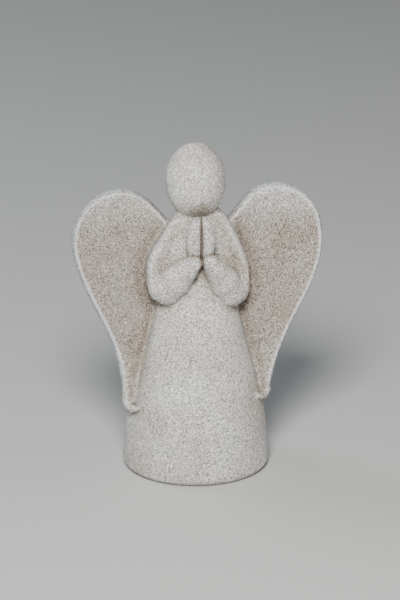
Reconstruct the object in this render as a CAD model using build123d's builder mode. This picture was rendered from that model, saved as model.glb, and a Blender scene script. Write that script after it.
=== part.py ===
"""A praying angel garden figurine: hollow cast robe, closed at the base, with the head,
forearms, hands and wings cast as separate pieces and pinned on.

Millimetres. The origin is the centre of the base's underside, +Z is up, and the figure
faces -Y, so its own left side is +X.
"""
import os
from math import sqrt

from build123d import *

os.makedirs("parts", exist_ok=True)

# ---- Driving dimensions ------------------------------------------------------------
HEIGHT = 430.0            # crown of the head above the ground
WALL = 7.0                # thickness of the slush-cast robe

# Robe: a bell, given as (radius, height) from the rounded hem to the shoulders
HEM_ROUND = 9.0
ROBE_OUTLINE = [(93, HEM_ROUND), (88.5, 68), (66.5, 158), (52, 219), (43.5, 260), (33.5, 300)]
NECK_RADIUS = 23.0
NECK_Z = 338.0            # the shoulders' top, hollowed into a cup for the head
CAVITY_TOP_Z = 272.0      # the shoulders above this are solid

# Head: a blank egg
HEAD_RADIUS = 37.8
HEAD_HALF_HEIGHT = 49.0
OVAL = 0.5523             # handle length that makes a Bezier curve a quarter of an ellipse

# Arms of the +X side: each end's place and radius. The two elbows are not quite level
SHOULDER = ((24, -3, 312), 18)
ELBOW = (40, -20.5)
ELBOW_HEIGHT = {"left": 238, "right": 246}
ELBOW_RADIUS = 20.5
UPPER_ARM_END = (45, -15, 14)     # place from above, and height over the elbow
UPPER_ARM_BULGE = 5.0     # how much fuller than a straight taper it is at its middle
CUFF = ((10.3, -42, 283), 10.3)
FOREARM_BULGE = 2.4
WRIST_RADIUS = 6.5
WRIST_DEPTH = 9.0         # how far the hand's spigot goes into the cuff

# Hands: two halves of an almond, as (half width, half depth, height)
HAND_SECTIONS = [(7, 5, 289), (14, 9, 295), (17.8, 11.3, 303), (17.4, 11.2, 315), (14.5, 9.5, 329),
                 (9, 6.5, 340)]
HAND_TIP_Z = 345.0
HAND_TIP_RADIUS = 2.5
HAND_Y = -38.5

# Wings: the front view of each outer edge, as (distance from the middle, height)
WING_EDGE = {
    "left": [(41, 325), (53.5, 340), (72, 361), (93.5, 370), (116, 369.5), (136.5, 359), (151, 341),
             (158.3, 312), (153.5, 265), (127, 200), (107, 153.5), (98, 125), (92, 100)],
    "right": [(33, 324), (49, 344), (71, 363.5), (98, 371.5), (126, 364.5), (147, 346), (158.3, 315),
              (152.5, 274), (134, 226), (107.5, 167), (99.5, 135), (96, 102)],
}
WING_HOOK = {             # lowest point, curled tip, and the inner corner behind the tip
    "left": [(86, 93), (78, 96), (76, 101)],
    "right": [(90, 92), (80, 91), (76, 98)],
}
WING_INSIDE_ROBE = [(60, 122), (20, 210), (5, 318)]   # closes the outline, and is cut away
TAIL_CURL = {             # the tail's end, curled forward round the robe: places with the radius there
    "left": [((88.7, -18, 98.5), 6.0), ((83, -27, 95.5), 5.5), ((76.6, -36, 97), 4.8), ((72, -41, 101), 4.0)],
    "right": [((91, -13.5, 95), 6.5), ((88.6, -18.5, 89.5), 6.0), ((85.2, -27.6, 88), 5.5), ((81, -33, 90), 4.2)],
}
CURL_BULGE = 0.3
# Middle of the thickness at the middle of the figure, from the foot to the top, as (y, height)
WING_SPINE = [(-12, 70), (-9, 98), (-2, 140), (1.5, 180), (4, 225), (7, 290), (8.5, 340), (9, 385)]
WING_CUP_RADIUS = {"left": 450.0, "right": 900.0}   # the wings curve forward round an upright axis
WING_THICKNESS = 17.0     # at the top
TAIL_THICKNESS = 14.0     # at the foot
WING_EDGE_ROUND = 5.0

# Pins and wires
PIN_RADIUS = 3.0
WING_PIN_HEIGHTS = [296.0, 214.0]
WING_PIN_IN_ROBE = 20.0
WING_PIN_IN_WING = 34.0
PIN_BOSS_RADIUS = 9.0
WIRE_RADIUS = 1.5
WIRE_ROUTE = [(70, 312), (128, 306), (122, 226), (92, 150)]
WIRE_BEND = 18.0
DOWEL_RADIUS = 5.0
DOWEL_LENGTH = 44.0
DOWEL_MIDDLE_Z = 336.0
ELBOW_PIN_START = (2, 17.5, 7)    # from the elbow's middle, inside the upper arm
ELBOW_PIN_RADIUS = 2.5
ELBOW_PIN_LENGTH = 34.0

# Base closure
PLATE_RADIUS = 79.0
PLATE_THICKNESS = 6.0
PLATE_RECESS = 2.0        # the rim alone stands on the ground
PLUG_RADIUS = 15.0
PLUG_CLEARANCE = 0.05
PLUG_FLANGE_RADIUS = 19.0
PLUG_FLANGE_THICKNESS = 1.5
PLUG_LENGTH = 14.0

SIDES = {"left": 1, "right": -1}


def save(piece, name):
    """Label a finished piece and write it."""
    piece.part.label = name
    export_step(piece.part, f"parts/{name}.step")


def on_side(point, side):
    """A point of the +X side, moved to the side wanted."""
    x, y, z = point
    return Vector(x * side, y, z)


def largest(piece):
    """A piece's main solid, without the crumbs where it is cut to its neighbours."""
    return piece.solids().sort_by(SortBy.VOLUME)[-1]


def wing_y(x, z, name):
    """The middle of a wing's thickness at a place in its front view."""
    for (low_y, low_z), (high_y, high_z) in zip(WING_SPINE, WING_SPINE[1:]):
        if low_z <= z <= high_z:
            spine = low_y + (high_y - low_y) * (z - low_z) / (high_z - low_z)
            cup = WING_CUP_RADIUS[name]
            return sqrt((cup + spine) ** 2 - x**2) - cup
    raise ValueError(z)


def round_end(centre_x, radius, way):
    """A quarter circle that closes a limb's half profile; way is -1 at its start, 1 at its end."""
    slant = radius * sqrt(0.5)
    ThreePointArc((centre_x + way * radius, 0), (centre_x + way * slant, slant), (centre_x, radius))


def limb(stations, bulge, side):
    """A tapering limb with round ends, between two points, fuller by a bulge at its middle."""
    (start, start_radius), (end, end_radius) = stations
    start = on_side(start, side)
    length_line = on_side(end, side) - start
    length = length_line.length
    sideways = length_line.cross(Vector(0, 0, 1))
    middle = (length / 2, (start_radius + end_radius) / 2 + bulge)
    with BuildPart() as shape:
        with BuildSketch(Plane(origin=start, x_dir=length_line, z_dir=sideways)):
            with BuildLine():
                round_end(0, start_radius, -1)
                ThreePointArc((0, start_radius), middle, (length, end_radius))
                round_end(length, end_radius, 1)
                Line((length + end_radius, 0), (-start_radius, 0))
            make_face()
        revolve(axis=Axis(start, length_line))
    return shape.part


def rod(start, direction, length, radius):
    """A straight round rod from its start along a direction."""
    with BuildPart() as shape:
        with BuildSketch(Plane(origin=start, z_dir=direction)):
            Circle(radius)
        extrude(amount=length)
    return shape.part


def wing_pin_place(height, name):
    """Where a wing's middle surface meets the robe, and the way out along the wing."""
    robe = robe_radius(height)
    x = robe
    for _ in range(20):
        x = sqrt(robe**2 - wing_y(x, height, name) ** 2)
    y = wing_y(x, height, name)
    slope = wing_y(x + 20, height, name) - y
    return on_side((x, y, height), SIDES[name]), on_side((20, slope, 0), SIDES[name]).normalized()


def robe_radius(height):
    """The robe's radius at a height between its outline points."""
    for (low_r, low_z), (high_r, high_z) in zip(ROBE_OUTLINE, ROBE_OUTLINE[1:]):
        if low_z <= height <= high_z:
            return low_r + (high_r - low_r) * (height - low_z) / (high_z - low_z)
    raise ValueError(height)


# ---- Pins, wires and dowel, made first because the castings are moulded round them ----
with BuildPart() as neck_dowel:
    with BuildSketch(Plane.XY.offset(DOWEL_MIDDLE_Z - DOWEL_LENGTH / 2)):
        Circle(DOWEL_RADIUS)
    extrude(amount=DOWEL_LENGTH)

wing_pins = {}
wing_wires = {}
elbow_pins = {}
for name, side in SIDES.items():
    with BuildPart() as pins:
        for height in WING_PIN_HEIGHTS:
            place, outward = wing_pin_place(height, name)
            start = place - outward * WING_PIN_IN_ROBE
            add(rod(start, outward, WING_PIN_IN_ROBE + WING_PIN_IN_WING, PIN_RADIUS))
    wing_pins[name] = pins

    route = [on_side((x, wing_y(x, z, name), z), side) for x, z in WIRE_ROUTE]
    with BuildPart() as wire:
        with BuildLine():
            path = FilletPolyline(*route, radius=WIRE_BEND)
        with BuildSketch(Plane(origin=path @ 0, z_dir=path % 0)):
            Circle(WIRE_RADIUS)
        sweep()
    wing_wires[name] = wire

    elbow = on_side((*ELBOW, ELBOW_HEIGHT[name]), side)
    with BuildPart() as pin:
        start = elbow + on_side(ELBOW_PIN_START, side)
        add(rod(start, (0, -1, 0), ELBOW_PIN_LENGTH, ELBOW_PIN_RADIUS))
    elbow_pins[name] = pin

# ---- Robe: the outer form first, because the other castings are fitted to it ----------
with BuildPart() as robe_form:
    with BuildSketch(Plane.XZ):
        with BuildLine():
            ground = Line((0, 0), (ROBE_OUTLINE[0][0] - HEM_ROUND, 0))
            TangentArc(ground @ 1, ROBE_OUTLINE[0], tangent=(1, 0))
            side_line = Spline(*ROBE_OUTLINE, (NECK_RADIUS, NECK_Z), tangents=[(0, 1), (-0.9, 1)])
            seat = Line(side_line @ 1, (0, NECK_Z))
            Line(seat @ 1, (0, 0))
        make_face()
    revolve(axis=Axis.Z)
    for name, side in SIDES.items():
        end_x, end_y, rise = UPPER_ARM_END
        arm_end = (end_x, end_y, ELBOW_HEIGHT[name] + rise)
        add(limb([SHOULDER, (arm_end, ELBOW_RADIUS)], UPPER_ARM_BULGE, side))

# ---- Head, which the shoulders' cup is fitted to ----------------------------------------
with BuildPart() as head_form:
    widest_z = HEIGHT - HEAD_HALF_HEIGHT
    with BuildSketch(Plane.XZ):
        with BuildLine():
            for way in (-1, 1):
                Bezier(
                    (HEAD_RADIUS, widest_z),
                    (HEAD_RADIUS, widest_z + way * OVAL * HEAD_HALF_HEIGHT),
                    (HEAD_RADIUS * OVAL, widest_z + way * HEAD_HALF_HEIGHT),
                    (0, widest_z + way * HEAD_HALF_HEIGHT),
                )
            Line((0, widest_z - HEAD_HALF_HEIGHT), (0, HEIGHT))
        make_face()
    revolve(axis=Axis.Z)

with BuildPart() as head:
    add(head_form.part)
    add(neck_dowel.part, mode=Mode.SUBTRACT)

with BuildPart() as cavity:
    inner = [(radius - WALL, height) for radius, height in ROBE_OUTLINE[:-1]]
    mouth_z = PLATE_RECESS + PLATE_THICKNESS
    with BuildSketch(Plane.XZ):
        with BuildLine():
            bottom = Line((0, mouth_z), (PLATE_RADIUS - 3, mouth_z))
            lip = Line(bottom @ 1, inner[0])
            wall_line = Spline(*inner, tangents=[(0, 1), (-0.2, 1)])
            Spline(wall_line @ 1, (0, CAVITY_TOP_Z), tangents=[(-0.2, 1), (-1, 0)])
            Line((0, CAVITY_TOP_Z), (0, mouth_z))
        make_face()
    revolve(axis=Axis.Z)
    with BuildSketch():
        Circle(PLATE_RADIUS)
    extrude(amount=mouth_z)

with BuildPart() as robe_shell:
    add(robe_form.part)
    add(cavity.part, mode=Mode.SUBTRACT)
    add(head_form.part, mode=Mode.SUBTRACT)
    for name in SIDES:
        place, outward = wing_pin_place(WING_PIN_HEIGHTS[1], name)
        add(rod(place - outward * 3, -outward, WING_PIN_IN_ROBE, PIN_BOSS_RADIUS))
    add(neck_dowel.part, mode=Mode.SUBTRACT)
    for name in SIDES:
        add(wing_pins[name].part, mode=Mode.SUBTRACT)
        add(elbow_pins[name].part, mode=Mode.SUBTRACT)

# ---- Hands and forearms ------------------------------------------------------------
hands = {}
forearms = {}
for name, side in SIDES.items():
    elbow = (*ELBOW, ELBOW_HEIGHT[name])
    cuff = on_side(CUFF[0], side)
    along = (cuff - on_side(elbow, side)).normalized()
    outer_half = Plane.YZ if side > 0 else -Plane.YZ

    with BuildPart() as hand:
        for half_width, half_depth, height in HAND_SECTIONS:
            with BuildSketch(Plane.XY.offset(height)):
                with Locations((0, HAND_Y)):
                    Ellipse(half_width, half_depth)
        with BuildSketch(Plane.XY.offset(HAND_TIP_Z)):
            with Locations((0, HAND_Y)):
                Circle(HAND_TIP_RADIUS)
        loft()
        add(rod(cuff - along * WRIST_DEPTH, along, WRIST_DEPTH + 8, WRIST_RADIUS))
        split(bisect_by=outer_half, keep=Keep.TOP)
        add(robe_form.part, mode=Mode.SUBTRACT)
    hands[name] = hand

    with BuildPart() as forearm:
        add(limb([(elbow, ELBOW_RADIUS), CUFF], FOREARM_BULGE, side))
        split(bisect_by=outer_half, keep=Keep.TOP)
        add(robe_form.part, mode=Mode.SUBTRACT)
        add(hand.part, mode=Mode.SUBTRACT)
        add(elbow_pins[name].part, mode=Mode.SUBTRACT)
        add(largest(forearm), mode=Mode.REPLACE)
    forearms[name] = forearm

# ---- Wings -------------------------------------------------------------------------
wings = {}
for name, side in SIDES.items():
    with BuildPart() as wing_slab:
        with BuildSketch(Plane.YZ):
            with BuildLine():
                faces = []
                for way in (-1, 1):
                    foot, top = TAIL_THICKNESS / 2, WING_THICKNESS / 2
                    (_, foot_z), (_, top_z) = WING_SPINE[0], WING_SPINE[-1]
                    faces.append(Spline(*[
                        (y + way * (foot + (top - foot) * (z - foot_z) / (top_z - foot_z)), z)
                        for y, z in WING_SPINE
                    ]))
                Line(faces[0] @ 0, faces[1] @ 0)
                Line(faces[0] @ 1, faces[1] @ 1)
            make_face()
        cup_axis = Axis((0, -WING_CUP_RADIUS[name], 0), (0, 0, -side))
        revolve(axis=cup_axis, revolution_arc=30)

    with BuildPart() as wing:
        with BuildSketch(Plane.XZ.offset(-80)):
            edge = [(x * side, z) for x, z in WING_EDGE[name]]
            lowest, tip, corner = [(x * side, z) for x, z in WING_HOOK[name]]
            with BuildLine():
                outer = Spline(*edge)
                hook = ThreePointArc(outer @ 1, lowest, tip)
                inside = [(x * side, z) for x, z in WING_INSIDE_ROBE]
                Polyline(hook @ 1, corner, *inside, edge[0])
            make_face()
        extrude(amount=200)
        add(wing_slab.part, mode=Mode.INTERSECT)
        rims = wing.edges().filter_by(lambda rim: rim.length > WING_SPINE[-1][1] - WING_SPINE[0][1])
        fillet(rims, WING_EDGE_ROUND)
        curl = TAIL_CURL[name]
        for span in zip(curl, curl[1:]):
            add(limb(span, CURL_BULGE, side))
        add(robe_form.part, mode=Mode.SUBTRACT)
        add(forearms[name].part, mode=Mode.SUBTRACT)
        add(wing_pins[name].part, mode=Mode.SUBTRACT)
        add(wing_wires[name].part, mode=Mode.SUBTRACT)
        add(largest(wing), mode=Mode.REPLACE)
    wings[name] = wing

# ---- Base closure --------------------------------------------------------------------
with BuildPart() as base_plate:
    with BuildSketch(Plane.XY.offset(PLATE_RECESS)):
        Circle(PLATE_RADIUS)
        Circle(PLUG_RADIUS + PLUG_CLEARANCE, mode=Mode.SUBTRACT)
    extrude(amount=PLATE_THICKNESS)

with BuildPart() as fill_plug:
    with BuildSketch(Plane.XY.offset(PLATE_RECESS)):
        Circle(PLUG_RADIUS)
    extrude(amount=PLUG_LENGTH)
    with BuildSketch(Plane.XY.offset(PLATE_RECESS - PLUG_FLANGE_THICKNESS)):
        Circle(PLUG_FLANGE_RADIUS)
    extrude(amount=PLUG_FLANGE_THICKNESS)

save(robe_shell, "robe_shell")
save(head, "head")
save(neck_dowel, "neck_dowel")
save(base_plate, "base_plate")
save(fill_plug, "fill_plug")
for name in SIDES:
    save(forearms[name], f"{name}_forearm")
    save(hands[name], f"{name}_hand")
    save(elbow_pins[name], f"{name}_elbow_pin")
    save(wings[name], f"{name}_wing")
    save(wing_pins[name], f"{name}_wing_pins")
    save(wing_wires[name], f"{name}_wing_wire")
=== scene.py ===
"""Looks of the praying angel garden figurine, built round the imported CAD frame.

The castings are carved from one smooth field of the whole figure, so that neighbouring
pieces meet in soft creases as they do on a cast figure. The field is in millimetres, x to
the figure's left, y to its back and z up; meshes are in metres.
"""
import math

import bpy
import numpy as np
import openvdb
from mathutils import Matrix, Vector


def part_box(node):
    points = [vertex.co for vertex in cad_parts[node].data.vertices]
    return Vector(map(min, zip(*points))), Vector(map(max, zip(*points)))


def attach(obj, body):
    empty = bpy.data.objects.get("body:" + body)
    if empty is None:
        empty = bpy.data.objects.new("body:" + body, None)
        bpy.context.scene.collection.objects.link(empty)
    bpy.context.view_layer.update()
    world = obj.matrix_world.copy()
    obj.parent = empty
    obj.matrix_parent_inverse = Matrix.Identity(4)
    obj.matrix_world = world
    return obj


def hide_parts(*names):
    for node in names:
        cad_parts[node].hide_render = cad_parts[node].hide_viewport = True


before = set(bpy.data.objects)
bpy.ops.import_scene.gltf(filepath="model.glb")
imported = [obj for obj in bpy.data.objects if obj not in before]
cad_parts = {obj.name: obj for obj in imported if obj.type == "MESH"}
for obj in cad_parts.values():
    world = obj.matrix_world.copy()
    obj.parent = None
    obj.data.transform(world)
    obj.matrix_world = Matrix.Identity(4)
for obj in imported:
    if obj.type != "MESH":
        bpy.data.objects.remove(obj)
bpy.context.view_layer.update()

MM = 1000.0
BODY = "figure"
SIDES = {"left": 1, "right": -1}


def cad_box(node):
    """A CAD node's lowest and highest corners in millimetres."""
    low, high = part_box(node)
    return np.array(low) * MM, np.array(high) * MM


ROBE_HIGH = cad_box("robe_shell")[1]
HEAD_HIGH = cad_box("head")[1]
PLATE_HIGH = cad_box("base_plate")[1]

# ---- Driving dimensions of the looks, millimetres ------------------------------------
HEM_RADIUS = ROBE_HIGH[0]
HEM_ROUND = 9.0
WALL = 7.0
CAVITY_TOP = 262.0
CAVITY_ROUND = 20.0
NECK_Z = ROBE_HIGH[2]
# Robe radius at heights, as fractions of the hem radius and of the shoulder height
ROBE_PROFILE = [(1.0, 0.0), (1.0, 0.03), (0.985, 0.09), (0.952, 0.2), (0.855, 0.33), (0.715, 0.47),
                (0.559, 0.652), (0.468, 0.774), (0.36, 0.893), (0.30, 0.955), (0.25, 1.0)]

HEAD_RADIUS = HEAD_HIGH[0]
HEAD_SINK = 2.5           # how much deeper the head sits between the shoulders than in the CAD
HEAD_TOP = HEAD_HIGH[2] - HEAD_SINK
HEAD_HALF_HEIGHT = HEAD_RADIUS * 1.3
HEAD_CENTRE_Z = HEAD_TOP - HEAD_HALF_HEIGHT
FACE_RIDGE = 1.8          # height of the soft ridge down the middle of the blank face

CHEST_FLAT = 0.24         # how much flatter the chest's front is than a round one
CHEST_HEIGHTS = (170, 250)                  # between which it turns from round to flat

# Upper arms in the front view: the outer edge and the inner one, as (distance from the
# middle, height)
ARM_EDGE = {
    "left": [(24, 345), (38, 332), (49, 312), (58, 296), (63.5, 283), (65.3, 268), (63.5, 252),
             (57, 237)],
    "right": [(20, 341), (32.5, 330), (46, 311), (57, 295), (63.5, 282), (65.3, 268), (63.5, 252),
              (57, 237)],
}
ARM_INSIDE = [(30, 230), (-4, 262), (-4, 345)]
# The crest just inside the outer edge, as (height, y)
ARM_CREST = [(225, -31), (250, -29.5), (270, -27), (285, -24.5), (300, -21.5), (316, -18),
             (332, -14), (346, -11)]
ARM_EDGE_ROUND = 8.0
ARM_SCOOP = 4.5           # how far the front is hollowed inside the crest
ARM_SCOOP_SPAN = (4, 22)  # how far in from the outer edge the hollow starts and is deepest
ARM_BACK_Y = 8.0
ARM_DROP_HEIGHTS = (270, 325)               # between which the arm with the lower elbow is stretched

# Forearms: the elbow, the cuff, and the radius at fractions of the way
ELBOW = (39.5, -23)
ELBOW_HEIGHT = {"left": 238, "right": 246}
CUFF = (11, -46, 284)
FOREARM_RADII = [(0, 21.5), (0.35, 19.4), (0.72, 14.4), (1, 10.8)]
# A hand's middle as (height, y), and half its width as (height, half width)
HAND_LEAN = [(280, -33.5), (296, -36.5), (310, -38.5), (344, -38.5)]
HAND_PROFILE = [(280, 6.0), (288, 7.6), (296, 8.7), (304, 9.2), (314, 9.2), (323, 8.3),
                (331, 7.0), (338, 5.3), (344, 3.4)]
HAND_DEPTH = 1.2          # depth of a hand's section over its width
HAND_OVERLAP = 0.4        # how far the two rounded palms press into each other

# Wings in the front view: the outer edge, the tail's foot and the hidden inner edge
WING_EDGE = {
    "left": [(41, 325), (53.5, 340), (72, 361), (93.5, 370), (116, 369.5), (136.5, 359), (151, 341),
             (158.3, 312), (153.5, 265), (127, 200), (107, 153.5), (98, 125), (92, 100)],
    "right": [(33, 324), (49, 344), (71, 363.5), (98, 371.5), (126, 364.5), (147, 346), (158.3, 315),
              (152.5, 274), (134, 226), (107.5, 167), (99.5, 135), (96, 102)],
}
WING_FOOT = {"left": [(86, 93), (74, 98)], "right": [(91, 90), (78, 92)]}
WING_INSIDE = [(60, 122), (20, 210), (5, 318)]
# The tail's end curls forward round the robe, as (x, y, z, radius)
TAIL_CURL = {
    "left": [(90, -17, 98.5, 4.6), (84, -27, 95.0, 4.3), (77, -36, 96.5, 4.0), (72.5, -41, 100, 3.6)],
    "right": [(92, -13, 95, 5.0), (89, -19, 89, 4.7), (85.5, -27.6, 87.5, 4.3), (81, -33, 89.5, 3.7)],
}
# The middle of a wing's thickness, carried in to the middle of the figure, as (height, y)
WING_SPINE = [(60, -12.5), (98, -9), (140, -2), (180, 1.5), (225, 4), (290, 7), (340, 8.5), (385, 9)]
WING_CUP_RADIUS = {"left": 450.0, "right": 900.0}
WING_THICKNESS = 17.0
TAIL_THICKNESS = 14.0
THICKENING_HEIGHTS = (90, 260)              # from the tail's thickness to the wing's
FRONT_EDGE_ROUND = 7.0
BACK_EDGE_ROUND = 7.0
RIM_WIDTH = 3.8           # from the outline to the crest, in the front view
CREST_DROP = 1.3          # how far the front is cut back where it meets the rounded edge
ARM_CREST_DROP = 0.6 * CREST_DROP
WING_DISH = 2.6           # how far the front is hollowed inside that
WING_DISH_SPAN = (5, 26)  # how far in from the outline the hollow starts and is deepest
TAIL_PLAIN = 112.0        # the painted edge light fades out round this height, and the darker hollow above it
HOLLOW_TOP = 362.0        # the darker brown in a wing's hollow thins out up to this height

# Widths over which one surface runs softly into the next
CREST_BLEND = 0.8
NECK_BLEND = 8.0          # round the head's seat
ARM_BACK_BLEND = 8.0
ARM_BLEND = 9.0
TAIL_BLEND = 5.0
WING_BLEND = 4.0
FOREARM_BLEND = (3.0, 13.0)                 # towards the cuff and at the elbow
ELBOW_SPAN = (44, 62)     # distances from the middle between which it widens
HAND_BLEND = 1.0
HEAD_BLEND = 2.5

# Past its seam a casting dips under its neighbour's surface, and then ends
SEAM_DIP = 0.9
SEAM_DIP_SPAN = (0.3, 2.2)
SEAM_REACH = 3.0
# Unevenness of a hand-made surface: each layer's height, spacing and random seed
UNEVEN_LAYERS = [(0.35, 24.0, 3), (0.12, 7.0, 5)]


# ---- Field helpers -------------------------------------------------------------------
def smooth_step(value, low, high):
    t = np.clip((value - low) / (high - low), 0.0, 1.0)
    return t * t * (3.0 - 2.0 * t)


def blend_min(a, b, width):
    """The union of two fields with a soft crease."""
    h = np.clip(0.5 + 0.5 * (b - a) / width, 0.0, 1.0)
    return b + (a - b) * h - width * h * (1.0 - h)


def blend_max(a, b, width):
    """The overlap of two fields with a rounded edge."""
    return -blend_min(-a, -b, width)


def round_over(a, b, radius):
    """The overlap of two fields, its edge a quarter round."""
    u, v = a + radius, b + radius
    return np.minimum(np.maximum(u, v), 0) + np.hypot(np.maximum(u, 0), np.maximum(v, 0)) - radius


def cubic(knots, values):
    """A natural cubic spline through values at knots, as a function."""
    t = np.asarray(knots, float)
    v = np.asarray(values, float)
    n = len(t)
    h = np.diff(t)
    system = np.eye(n)
    right = np.zeros((n,) + v.shape[1:])
    slope = np.diff(v, axis=0) / h.reshape(-1, *([1] * (v.ndim - 1)))
    for i in range(1, n - 1):
        system[i, i - 1:i + 2] = h[i - 1], 2 * (h[i - 1] + h[i]), h[i]
        right[i] = 6 * (slope[i] - slope[i - 1])
    bend = np.linalg.solve(system, right)

    def at(x):
        x = np.asarray(x)
        i = np.clip(np.searchsorted(t, x) - 1, 0, n - 2)
        a = x - t[i]
        b = t[i + 1] - x
        w = h[i]
        if v.ndim > 1:
            a, b, w = a[:, None], b[:, None], w[:, None]
        return (bend[i] * b**3 + bend[i + 1] * a**3) / (6 * w) + (v[i] / w - bend[i] * w / 6) * b + (
            v[i + 1] / w - bend[i + 1] * w / 6) * a
    return at


def smooth_curve(points, step):
    """Points a step apart along a smooth curve through the given ones."""
    p = np.asarray(points, float)
    along = np.concatenate([[0], np.cumsum(np.linalg.norm(np.diff(p, axis=0), axis=1))])
    return cubic(along, p)(np.arange(0, along[-1], step))


def tube(x, y, z, stations, width):
    """A round limb through (x, y, z, radius) stations, its spans joined softly."""
    field = None
    for a, b in zip(stations, stations[1:]):
        a, b = np.asarray(a, float), np.asarray(b, float)
        line = b[:3] - a[:3]
        px, py, pz = x - a[0], y - a[1], z - a[2]
        t = np.clip((px * line[0] + py * line[1] + pz * line[2]) / (line @ line), 0, 1)
        gap = np.sqrt((px - t * line[0])**2 + (py - t * line[1])**2 + (pz - t * line[2])**2)
        span = gap - (a[3] + (b[3] - a[3]) * t)
        field = span if field is None else blend_min(field, span, width)
    return field


def outline_field(x, z, points):
    """Signed distance in the front view to a closed outline."""
    nearest = np.inf
    inside = np.zeros(np.broadcast(x, z).shape, bool)
    for (ax, az), (bx, bz) in zip(points, np.roll(points, -1, axis=0)):
        lx, lz = bx - ax, bz - az
        t = np.clip(((x - ax) * lx + (z - az) * lz) / (lx * lx + lz * lz + 1e-12), 0, 1)
        nearest = np.minimum(nearest, (x - ax - t * lx)**2 + (z - az - t * lz)**2)
        crosses = (az > z) != (bz > z)
        inside ^= crosses & (x < ax + lx * (z - az) / (lz if abs(lz) > 1e-9 else 1e-9))
    return np.where(inside, -1.0, 1.0) * np.sqrt(nearest)


def lumps(x, y, z, size, seed):
    """Smooth random lumps between -1 and 1, a size apart."""
    cells = 32
    lattice = np.random.RandomState(seed).uniform(-1, 1, (cells, cells, cells))
    corners = []
    for axis in (x, y, z):
        cell = np.floor(axis / size)
        part = axis / size - cell
        corners.append((cell.astype(int), part * part * (3 - 2 * part)))
    total = 0.0
    for bits in range(8):
        weight = 1.0
        index = []
        for k, (cell, part) in enumerate(corners):
            up = bits >> k & 1
            index.append((cell + up) % cells)
            weight = weight * (part if up else 1 - part)
        total = total + weight * lattice[tuple(index)]
    return total


# ---- The figure's pieces as fields -----------------------------------------------------
profile = np.array(ROBE_PROFILE)
robe_radius = cubic(profile[:, 1] * NECK_Z, profile[:, 0] * HEM_RADIUS)


def torso_field(x, y, z):
    height = np.clip(z, 0, NECK_Z)
    flat = 1 + CHEST_FLAT * smooth_step(z, *CHEST_HEIGHTS) * (y < 0)
    side = (np.sqrt(x**2 + (y * flat)**2) - robe_radius(height)) * 0.97
    field = round_over(side, -z, HEM_ROUND)
    return blend_max(field, z - NECK_Z, NECK_BLEND)


ARM_OUTLINES = {name: np.vstack([smooth_curve(edge, 4.0), edge[-1:], ARM_INSIDE])
                for name, edge in ARM_EDGE.items()}
arm_crest = cubic(*np.array(ARM_CREST, float).T)


def arm_outline_field(x, z, name):
    """Distance to an upper arm's outline in the front view, and the outline's height there."""
    drop = ELBOW_HEIGHT["right"] - ELBOW_HEIGHT[name]
    level = z + drop * (1 - smooth_step(z, *ARM_DROP_HEIGHTS))
    return outline_field(x * SIDES[name], level, ARM_OUTLINES[name]), level


def upper_arm_field(x, y, z, name):
    outline, level = arm_outline_field(x, z, name)
    front = arm_crest(np.clip(level, ARM_CREST[0][0], ARM_CREST[-1][0])) - y
    scoop = ARM_CREST_DROP + ARM_SCOOP * smooth_step(-outline, *ARM_SCOOP_SPAN)
    field = blend_max(round_over(outline, front, ARM_EDGE_ROUND), front + scoop, CREST_BLEND)
    return blend_max(field, y - ARM_BACK_Y, ARM_BACK_BLEND)


def robe_field(x, y, z):
    field = torso_field(x, y, z)
    for name in SIDES:
        field = blend_min(field, upper_arm_field(x, y, z, name), ARM_BLEND)
    return field


def head_field(x, y, z):
    """An egg with a soft ridge down its blank face."""
    qx, qy, qz = x / HEAD_RADIUS, y / HEAD_RADIUS, (z - HEAD_CENTRE_Z) / HEAD_HALF_HEIGHT
    size = np.sqrt(qx**2 + qy**2 + qz**2) + 1e-9
    steep = (qx / HEAD_RADIUS)**2 + (qy / HEAD_RADIUS)**2 + (qz / HEAD_HALF_HEIGHT)**2
    field = size * (size - 1.0) / (np.sqrt(steep) + 1e-9)
    face = smooth_step(-y, 8.0, 30.0) * smooth_step(z, HEAD_CENTRE_Z - 44, HEAD_CENTRE_Z - 12)
    face = face * (1 - smooth_step(z, HEAD_CENTRE_Z + 14, HEAD_CENTRE_Z + 40))
    return field - FACE_RIDGE * face * np.exp(-np.abs(x) / 7.0)


def forearm_field(x, y, z, name):
    elbow = np.array((*ELBOW, ELBOW_HEIGHT[name]), float)
    line = np.array(CUFF) - elbow
    stations = [(*(elbow + line * part), radius) for part, radius in FOREARM_RADII]
    return tube(x * SIDES[name], y, z, stations, 4.0)


hand_width = cubic(*np.array(HAND_PROFILE, float).T)
hand_y = cubic(*np.array(HAND_LEAN, float).T)


def hand_field(x, y, z, name):
    low, high = HAND_PROFILE[0][0], HAND_PROFILE[-1][0]
    width = np.maximum(hand_width(np.clip(z, low, high)), 0.5)
    across = (x * SIDES[name] - (width - HAND_OVERLAP)) / width
    depth = (y - hand_y(np.clip(z, low, high))) / (width * HAND_DEPTH)
    section = ((np.abs(across)**2.4 + np.abs(depth)**2.4)**(1 / 2.4) - 1.0) * width
    return blend_max(section * 0.9, np.maximum(z - high, low - z), 5.0)


def wing_outline(name):
    edge = smooth_curve(WING_EDGE[name], 4.0)
    return np.vstack([edge, WING_EDGE[name][-1:], WING_FOOT[name], WING_INSIDE])


OUTLINES = {name: wing_outline(name) for name in SIDES}
wing_spine = cubic(*np.array(WING_SPINE, float).T)


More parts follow.
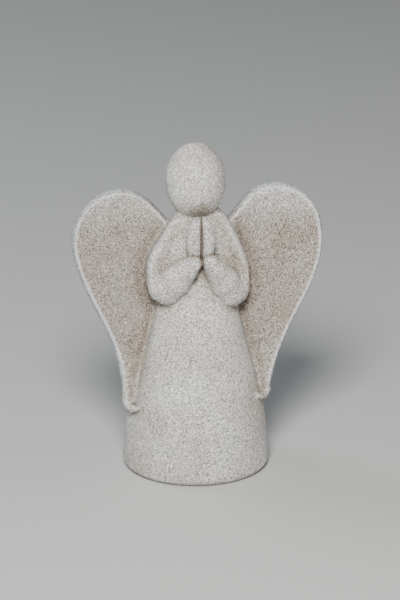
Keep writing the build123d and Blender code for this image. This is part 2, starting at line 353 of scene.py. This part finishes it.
def wing_field(x, y, z, name):
    side_x = x * SIDES[name]
    outline = outline_field(side_x, z, OUTLINES[name])
    reach = WING_CUP_RADIUS[name]
    height = np.clip(z, WING_SPINE[0][0], WING_SPINE[-1][0])
    behind = np.sqrt((y + reach)**2 + x**2) - reach - wing_spine(height)
    thicker = smooth_step(z, *THICKENING_HEIGHTS)
    thickness = TAIL_THICKNESS + (WING_THICKNESS - TAIL_THICKNESS) * thicker
    front = -behind - thickness / 2
    back = behind - thickness / 2
    dish = CREST_DROP + WING_DISH * smooth_step(-outline, *WING_DISH_SPAN)
    field = blend_max(round_over(outline, front, FRONT_EDGE_ROUND), front + dish, CREST_BLEND)
    field = np.maximum(field, round_over(outline, back, BACK_EDGE_ROUND))
    return blend_min(field, tube(side_x, y, z, TAIL_CURL[name], 3.0), TAIL_BLEND)


def all_fields(x, y, z):
    """Every casting's own field, by name."""
    fields = {"robe": robe_field(x, y, z), "head": head_field(x, y, z)}
    for name in SIDES:
        fields[name + "_wing"] = wing_field(x, y, z, name)
        fields[name + "_forearm"] = forearm_field(x, y, z, name)
        fields[name + "_hand"] = hand_field(x, y, z, name)
    return fields


def figure_field(x, y, z, fields):
    """The whole figure with soft creases, and the faint unevenness of a hand-made model."""
    body = fields["robe"]
    for name in SIDES:
        body = blend_min(body, fields[name + "_wing"], WING_BLEND)
    at_cuff, at_elbow = FOREARM_BLEND
    for name, side in SIDES.items():
        crease = at_cuff + (at_elbow - at_cuff) * smooth_step(x * side, *ELBOW_SPAN)
        body = blend_min(body, fields[name + "_forearm"], crease)
    for name in SIDES:
        body = blend_min(body, fields[name + "_hand"], HAND_BLEND)
    body = blend_min(body, fields["head"], HEAD_BLEND)
    uneven = sum(height * lumps(x, y, z, spacing, seed) for height, spacing, seed in UNEVEN_LAYERS)
    return body - uneven * smooth_step(z, 2.0, 12.0)


def piece_field(x, y, z, piece):
    """One casting: the figure's surface over its own area, running a little under its
    neighbours' beyond it."""
    fields = all_fields(x, y, z)
    whole = figure_field(x, y, z, fields)
    own = fields[piece]
    others = None
    for name, field in fields.items():
        if name != piece:
            others = field if others is None else np.minimum(others, field)
    beyond = (own - others) / 2
    result = np.maximum(whole + SEAM_DIP * smooth_step(beyond, *SEAM_DIP_SPAN), beyond - SEAM_REACH)
    if piece.endswith("_hand"):
        side = 1 if piece.startswith("left") else -1
        result = np.maximum(result, -x * side)
    if piece == "robe":
        cavity = blend_max(torso_field(x, y, z) + WALL, z - CAVITY_TOP, CAVITY_ROUND)
        mouth = np.maximum(np.sqrt(x**2 + y**2) - PLATE_HIGH[0], z - PLATE_HIGH[2])
        cavity = np.minimum(cavity, np.maximum(mouth, -z - 5))
        result = np.maximum(result, -cavity)
        result = np.maximum(result, -z)
    return result


# ---- From field to mesh -----------------------------------------------------------------
SLOPE_STEP = 0.05         # over which a field's slope is measured
BOX_MARGIN = 6.0          # how far round its CAD node a casting is carved


def openness_gap(points, normals, reach):
    """The figure's field a reach out from each point, as a fraction of the reach."""
    place = (points + normals * reach).T
    return figure_field(*place, all_fields(*place)) / abs(reach)


def edge_light_and_hollow(points, normals):
    """Per point, from 0 to 1: rim, painted cool sky light and shade on the rounded edge of a wing or
    upper arm; crest, dry-brushed paint with a painted highlight on the line where that edge meets
    the hollowed front; hollow, a darker brown on a wing's front inside the crest. Crest and hollow
    go only where the surface faces the front. An arm's edge is painted half as strongly as a wing's."""
    x, y, z = points.T
    # Facing the front: the painted crest highlight and the wing's darker hollow go only there.
    front = smooth_step(-normals[:, 1], 0.2, 0.6)
    rim_sky_shade = crest_drybrush_highlight = hollow = np.zeros(len(points))
    for name, side in SIDES.items():
        wing = outline_field(x * side, z, OUTLINES[name])
        arm, _ = arm_outline_field(x, z, name)
        for field, outline, most in ((wing_field(x, y, z, name), wing, 1.0),
                                     (upper_arm_field(x, y, z, name), arm, 0.5)):
            here = most * (1 - smooth_step(np.abs(field), 0.8, 2.0))
            # The crest line: dry-brushed paint with a painted highlight, on front-facing surfaces.
            line = np.exp(-((-outline - RIM_WIDTH) / 1.4)**2) * front
            # The rim: painted cool sky light and shade on the rounded edge.
            rim_sky_shade = np.maximum(rim_sky_shade, here * (1 - smooth_step(-outline, RIM_WIDTH - 1.5, RIM_WIDTH + 0.5)))
            crest_drybrush_highlight = np.maximum(crest_drybrush_highlight, here * line)
        # A wing's hollow is a darker brown, thinning out towards the top and towards the tail.
        darkening = 0.35 + 0.65 * smooth_step(HOLLOW_TOP - z, 0.0, 60.0)
        darkening = darkening * (0.45 + 0.55 * smooth_step(z, TAIL_PLAIN, TAIL_PLAIN + 70.0))
        here = front * darkening * (1 - smooth_step(np.abs(wing_field(x, y, z, name)), 0.8, 2.0))
        hollow = np.maximum(hollow, here * smooth_step(-wing, RIM_WIDTH + 0.5, RIM_WIDTH + 4.0))
    tail = smooth_step(z, TAIL_PLAIN - 15.0, TAIL_PLAIN + 15.0)
    return {"rim_sky_shade": rim_sky_shade * tail, "crest_drybrush_highlight": crest_drybrush_highlight * (0.4 + 0.6 * tail), "hollow": hollow}


def surface_measures(points, normals):
    """Per point, from 0 to 1: crease, deep in a narrow groove, where a brown wash and painted shade
    go; shade, overhung by the broader forms round it, where painted shade goes; and the painted
    edge light and the wing's darker hollow."""
    measures = {}
    # How shut in each point is; the colour darkens with it as painted shade.
    for name, reaches in {"crease": (2.5, 6.0), "shade": (16.0, 42.0)}.items():
        shut = [np.clip(1 - openness_gap(points, normals, reach), 0, 1) for reach in reaches]
        measures[name] = sum(shut) / len(shut)
    measures.update(edge_light_and_hollow(points, normals))
    return measures


def joined_normals(points, normals):
    """The whole figure's normals where a piece lies on its surface, so that no seam shades."""
    def whole(place):
        return figure_field(*place.T, all_fields(*place.T))
    here = whole(points)
    slope = np.stack([whole(points + SLOPE_STEP * e) - here for e in np.eye(3)], 1)
    slope /= np.maximum(np.linalg.norm(slope, axis=1, keepdims=True), 1e-9)
    return np.where((np.abs(here) < 1.0)[:, None], slope, normals)


def largest_island(points, quads):
    """The largest connected surface, without the specks that the field leaves along seams."""
    label = np.arange(len(points))
    while True:
        lowest = label[quads].min(1)
        joined = label.copy()
        for corner in quads.T:
            np.minimum.at(joined, corner, lowest)
        joined = joined[joined]
        if np.array_equal(joined, label):
            break
        label = joined
    owner = label[quads[:, 0]]
    names, counts = np.unique(owner, return_counts=True)
    used, corners = np.unique(quads[owner == names[counts.argmax()]], return_inverse=True)
    return points[used], corners.reshape(-1, 4)


def carve(name, piece, low, high, voxel):
    """A smooth mesh of a casting inside a box."""
    axes = [np.arange(a - 2.5 * voxel, b + 3.5 * voxel, voxel) for a, b in zip(low, high)]
    x, y, z = axes[0][:, None, None], axes[1][None, :, None], axes[2][None, None, :]
    volume = np.broadcast_to(piece_field(x, y, z, piece), [len(a) for a in axes])
    grid = openvdb.FloatGrid(10.0)
    grid.copyFromArray(np.ascontiguousarray(np.clip(volume, -10, 10), np.float32))
    points, quads = largest_island(*grid.convertToQuads(0.0))
    points = points.astype(float) * voxel + [a[0] for a in axes]
    for _ in range(2):
        here = piece_field(*points.T, piece)
        slope = np.stack([(piece_field(*(points + SLOPE_STEP * e).T, piece)
                           - piece_field(*(points - SLOPE_STEP * e).T, piece)) / (2 * SLOPE_STEP)
                          for e in np.eye(3)], 1)
        move = -here[:, None] * slope / np.maximum((slope**2).sum(1), 0.25)[:, None]
        length = np.linalg.norm(move, axis=1, keepdims=True)
        points = points + move * np.minimum(1, 0.6 * voxel / np.maximum(length, 1e-9))
    mesh = bpy.data.meshes.new(name)
    mesh.from_pydata((points / MM).tolist(), [], quads.tolist())
    mesh.validate()
    mesh.polygons.foreach_set("use_smooth", np.ones(len(mesh.polygons), bool))
    obj = bpy.data.objects.new(name, mesh)
    bpy.context.scene.collection.objects.link(obj)
    normals = np.zeros(len(mesh.vertices) * 3)
    mesh.vertices.foreach_get("normal", normals)
    normals = joined_normals(points, normals.reshape(-1, 3))
    mesh.normals_split_custom_set_from_vertices(normals.tolist())
    for measure, values in surface_measures(points, normals).items():
        mesh.attributes.new(measure, "FLOAT", "POINT").data.foreach_set("value", values)
    return obj


# Per piece: its object's name, the CAD nodes it replaces and the spacing of its grid
PIECES = {
    "robe": ("robe_cast", ["robe_shell"], 1.8),
    "head": ("head_cast", ["head"], 1.1),
}
for name in SIDES:
    PIECES[name + "_wing"] = (name + "_wing_cast", [name + "_wing"], 1.3)
    PIECES[name + "_forearm"] = (name + "_forearm_cast", [name + "_forearm"], 0.9)
    PIECES[name + "_hand"] = (name + "_hand_cast", [name + "_hand"], 0.8)

casts = []
for piece, (name, nodes, voxel) in PIECES.items():
    low, high = cad_box(nodes[0])
    obj = carve(name, piece, low - BOX_MARGIN, high + BOX_MARGIN, voxel)
    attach(obj, BODY)
    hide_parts(*nodes)
    casts.append(obj)
    print("carved", name, len(obj.data.vertices), len(obj.data.polygons))


# ---- Materials ------------------------------------------------------------------------
def new_material(name, roughness):
    material = bpy.data.materials.new(name)
    material.use_nodes = True
    nodes = material.node_tree.nodes
    shader = nodes["Principled BSDF"]
    shader.inputs["Roughness"].default_value = roughness
    return material, nodes, material.node_tree.links, shader


def noise(nodes, links, place, scale, detail, roughness=0.5):
    node = nodes.new("ShaderNodeTexNoise")
    node.inputs["Scale"].default_value = scale
    node.inputs["Detail"].default_value = detail
    node.inputs["Roughness"].default_value = roughness
    links.new(place, node.inputs["Vector"])
    return node.outputs["Fac"]


def ramp(nodes, links, value, stops):
    node = nodes.new("ShaderNodeValToRGB")
    node.color_ramp.elements[0].position, node.color_ramp.elements[0].color = stops[0]
    node.color_ramp.elements[1].position, node.color_ramp.elements[1].color = stops[-1]
    for position, color in stops[1:-1]:
        node.color_ramp.elements.new(position).color = color
    links.new(value, node.inputs["Fac"])
    return node.outputs["Color"]


def mix(nodes, links, kind, factor, a, b):
    node = nodes.new("ShaderNodeMix")
    node.data_type = "RGBA"
    node.blend_type = kind
    for value, socket in ((factor, node.inputs[0]), (a, node.inputs[6]), (b, node.inputs[7])):
        if isinstance(value, (int, float, tuple)):
            socket.default_value = value
        else:
            links.new(value, socket)
    return node.outputs[2]


def measured(nodes, links, name, low, high, most):
    """A carved measure, as a smooth factor from 0 at low to most at high."""
    source = nodes.new("ShaderNodeAttribute")
    source.attribute_name = name
    scale = nodes.new("ShaderNodeMapRange")
    scale.interpolation_type = "SMOOTHSTEP"
    scale.inputs["From Min"].default_value = low
    scale.inputs["From Max"].default_value = high
    scale.inputs["To Max"].default_value = most
    links.new(source.outputs["Fac"], scale.inputs["Value"])
    return scale.outputs["Result"]


def stone_material():
    """Cast stone look: pale grey-beige paint, stippled dark and light; a darker brown in a wing's
    hollow; painted shade, brownish, under overhanging forms, and a brown wash with painted shade
    in narrow creases; painted cool sky light and shade on rounded edges; and lighter crests of
    dry-brushed paint with a painted highlight."""
    material, nodes, links, shader = new_material("stone_resin", 0.84)
    place = nodes.new("ShaderNodeTexCoord").outputs["Object"]
    stipple = noise(nodes, links, place, 780.0, 2.0, 0.5)
    grain = noise(nodes, links, place, 260.0, 2.0, 0.6)
    cloud = noise(nodes, links, place, 16.0, 4.0)
    tone = ramp(nodes, links, cloud, [(0.32, (0.53, 0.49, 0.45, 1)),
                                      (0.5, (0.62, 0.60, 0.575, 1)),
                                      (0.7, (0.67, 0.67, 0.665, 1))])
    spots = ramp(nodes, links, stipple, [(0.38, (0.24, 0.23, 0.22, 1)), (0.47, (0.74, 0.73, 0.72, 1)),
                                         (0.53, (1.05, 1.05, 1.05, 1)), (0.63, (1.55, 1.55, 1.55, 1))])
    fine = ramp(nodes, links, grain, [(0.35, (0.80, 0.79, 0.78, 1)), (0.65, (1.15, 1.15, 1.15, 1))])
    spots = mix(nodes, links, "MULTIPLY", 1.0, spots, fine)
    tone = mix(nodes, links, "MULTIPLY", 1.0, tone, spots)
    # Darkening tints: a darker brown in a wing's hollow; painted shade, brownish, under overhanging
    # forms; a brown wash with painted shade in narrow creases.
    for measure, low, high, most, darkening in (("hollow", 0.1, 1.0, 0.95, (0.60, 0.55, 0.50, 1)),
                                           ("shade", 0.05, 0.65, 0.80, (0.66, 0.60, 0.53, 1)),
                                           ("crease", 0.25, 0.85, 0.95, (0.32, 0.26, 0.22, 1))):
        factor = measured(nodes, links, measure, low, high, most)
        tone = mix(nodes, links, "MULTIPLY", factor, tone, darkening)
    # Painted cool sky light and shade: rounded edges darker and bluish grey.
    rim_sky_shade = measured(nodes, links, "rim_sky_shade", 0.2, 0.9, 0.85)
    tone = mix(nodes, links, "MULTIPLY", rim_sky_shade, tone, (0.68, 0.75, 0.81, 1))
    # Lighter crest line: dry-brushed paint with a painted highlight.
    crest_drybrush_highlight = measured(nodes, links, "crest_drybrush_highlight", 0.1, 0.9, 0.4)
    tone = mix(nodes, links, "MIX", crest_drybrush_highlight, tone, (0.78, 0.78, 0.76, 1))
    links.new(tone, shader.inputs["Base Color"])
    bump = nodes.new("ShaderNodeBump")
    bump.inputs["Strength"].default_value = 0.6
    bump.inputs["Distance"].default_value = 0.0012
    links.new(stipple, bump.inputs["Height"])
    fine_bump = nodes.new("ShaderNodeBump")
    fine_bump.inputs["Strength"].default_value = 0.5
    fine_bump.inputs["Distance"].default_value = 0.0004
    links.new(grain, fine_bump.inputs["Height"])
    links.new(bump.outputs["Normal"], fine_bump.inputs["Normal"])
    links.new(fine_bump.outputs["Normal"], shader.inputs["Normal"])
    return material


def steel_material():
    material, nodes, links, shader = new_material("drawn_steel", 0.35)
    shader.inputs["Metallic"].default_value = 1.0
    place = nodes.new("ShaderNodeTexCoord").outputs["Object"]
    tone = ramp(nodes, links, noise(nodes, links, place, 300.0, 3.0),
                [(0.3, (0.38, 0.38, 0.39, 1)), (0.7, (0.62, 0.62, 0.63, 1))])
    links.new(tone, shader.inputs["Base Color"])
    return material


def board_material():
    material, nodes, links, shader = new_material("base_board", 0.9)
    place = nodes.new("ShaderNodeTexCoord").outputs["Object"]
    grain = noise(nodes, links, place, 260.0, 4.0)
    tone = ramp(nodes, links, grain, [(0.3, (0.26, 0.245, 0.22, 1)), (0.7, (0.40, 0.38, 0.35, 1))])
    links.new(tone, shader.inputs["Base Color"])
    bump = nodes.new("ShaderNodeBump")
    bump.inputs["Distance"].default_value = 0.0005
    links.new(grain, bump.inputs["Height"])
    links.new(bump.outputs["Normal"], shader.inputs["Normal"])
    return material


def rubber_material():
    material, nodes, links, shader = new_material("plug_rubber", 0.65)
    place = nodes.new("ShaderNodeTexCoord").outputs["Object"]
    grain = noise(nodes, links, place, 500.0, 3.0)
    tone = ramp(nodes, links, grain, [(0.3, (0.018, 0.018, 0.018, 1)), (0.7, (0.04, 0.04, 0.04, 1))])
    links.new(tone, shader.inputs["Base Color"])
    return material


stone = stone_material()
steel = steel_material()
for obj in casts:
    obj.data.materials.append(stone)
for node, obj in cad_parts.items():
    finish = {"base_plate": board_material, "fill_plug": rubber_material}.get(node)
    obj.data.materials.clear()
    obj.data.materials.append(finish() if finish else steel)

# ---- Floor, light and camera --------------------------------------------------------------
def make_floor():
    mesh = bpy.data.meshes.new("floor")
    half = 6.0
    corners = [(-half, -half, 0), (half, -half, 0), (half, half, 0), (-half, half, 0)]
    mesh.from_pydata(corners, [], [(0, 1, 2, 3)])
    floor = bpy.data.objects.new("floor", mesh)
    bpy.context.scene.collection.objects.link(floor)
    material, nodes, links, shader = new_material("floor", 0.9)
    shader.inputs["Base Color"].default_value = (0.52, 0.52, 0.51, 1)
    mesh.materials.append(material)


def area_light(name, place, target, size, power, color):
    light = bpy.data.lights.new(name, "AREA")
    light.shape = "DISK"
    light.size = size
    light.energy = power
    light.color = color
    obj = bpy.data.objects.new(name, light)
    obj.location = place
    obj.rotation_euler = (Vector(target) - Vector(place)).to_track_quat("-Z", "Y").to_euler()
    bpy.context.scene.collection.objects.link(obj)


def make_camera():
    turn, tilt = math.radians(10.0), math.radians(20.0)
    distance = 6.0
    view_height = 0.7596
    target = Vector((0.0056, -0.001, 0.2189))
    forward = Vector((math.sin(turn) * math.cos(tilt), math.cos(turn) * math.cos(tilt), -math.sin(tilt)))
    data = bpy.data.cameras.new("camera")
    data.sensor_width = 36.0
    data.lens = 36.0 * distance / view_height
    camera = bpy.data.objects.new("camera", data)
    camera.location = target - forward * distance
    camera.rotation_euler = forward.to_track_quat("-Z", "Y").to_euler()
    bpy.context.scene.collection.objects.link(camera)
    bpy.context.scene.camera = camera


make_floor()
middle = (0, 0, 0.2)
area_light("key", (-0.6, -2.4, 2.3), middle, 1.0, 165.0, (1.0, 0.99, 0.97))
area_light("back", (-2.0, 1.6, 2.0), middle, 1.8, 34.0, (0.84, 0.93, 1.0))
area_light("side", (2.4, -0.3, 1.0), middle, 1.6, 8.0, (1.0, 0.95, 0.89))
world = bpy.data.worlds.new("studio")
bpy.context.scene.world = world
world.use_nodes = True
world.node_tree.nodes["Background"].inputs["Color"].default_value = (0.88, 0.94, 1.0, 1)
world.node_tree.nodes["Background"].inputs["Strength"].default_value = 0.10
make_camera()

bpy.context.view_layer.update()
